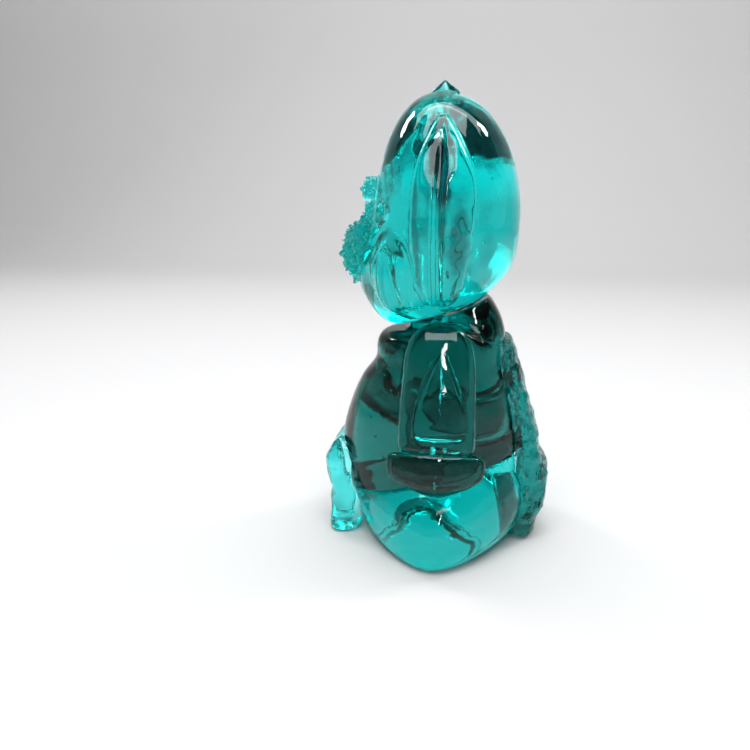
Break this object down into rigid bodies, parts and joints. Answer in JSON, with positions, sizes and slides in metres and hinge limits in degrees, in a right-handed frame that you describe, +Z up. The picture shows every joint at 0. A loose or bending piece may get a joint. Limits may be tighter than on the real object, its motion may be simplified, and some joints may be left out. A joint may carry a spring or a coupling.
{
  "type": "seated long-eared resin art toy",
  "caption": "Seated, big-headed, long-eared creature cast in clear teal resin, with a turning head and swinging arms.",
  "frame": {"origin": "middle of the footprint, on the surface that the toy sits on", "axes": "+Z up, -Y the way that the toy faces, +X the toy's own left"},
  "size_m": [0.0584, 0.0566, 0.11],
  "materials": {
    "clear_resin": "polished, transparent, tinted teal",
    "rough_resin": "transparent, tinted teal, broken into small glossy facets",
    "clear_rod": "polished, transparent, lightly tinted"
  },
  "bodies": {
    "trunk": {"torso": "clear_resin", "spine_strip": "rough_resin", "leg_left": "clear_resin", "leg_right": "clear_resin", "foot_left": "clear_resin", "foot_right": "clear_resin", "neck_pin": "clear_rod", "shoulder_pin_left": "clear_rod", "shoulder_pin_right": "clear_rod", "hip_pin_left": "clear_rod", "hip_pin_right": "clear_rod", "foot_pin_left": "clear_rod", "foot_pin_right": "clear_rod"},
    "head": {"head": "clear_resin", "ear_left": "clear_resin", "ear_right": "clear_resin", "ear_pin_left": "clear_rod", "ear_pin_right": "clear_rod", "muzzle": "rough_resin", "nose": "rough_resin", "eye_left": "clear_resin", "eye_right": "clear_resin", "crest": "rough_resin"},
    "left_arm": {"arm_left": "clear_resin", "hand_left": "clear_resin", "wrist_pin_left": "clear_rod"},
    "right_arm": {"arm_right": "clear_resin", "hand_right": "clear_resin", "wrist_pin_right": "clear_rod"}
  },
  "joints": [
    {"name": "head_turn", "type": "hinge", "parent": "trunk", "child": "head", "pos_m": [0, -0.002, 0.0556], "axis": [0, 0, 1], "range_deg": [-35, 35]},
    {"name": "left_arm_swing", "type": "hinge", "parent": "trunk", "child": "left_arm", "pos_m": [0.0142, 0.0012, 0.0484], "axis": [-0.9613, 0, -0.2756], "range_deg": [-15, 85]},
    {"name": "right_arm_swing", "type": "hinge", "parent": "trunk", "child": "right_arm", "pos_m": [-0.0142, 0.0012, 0.0484], "axis": [-0.9613, 0, 0.2756], "range_deg": [-15, 85]}
  ]
}
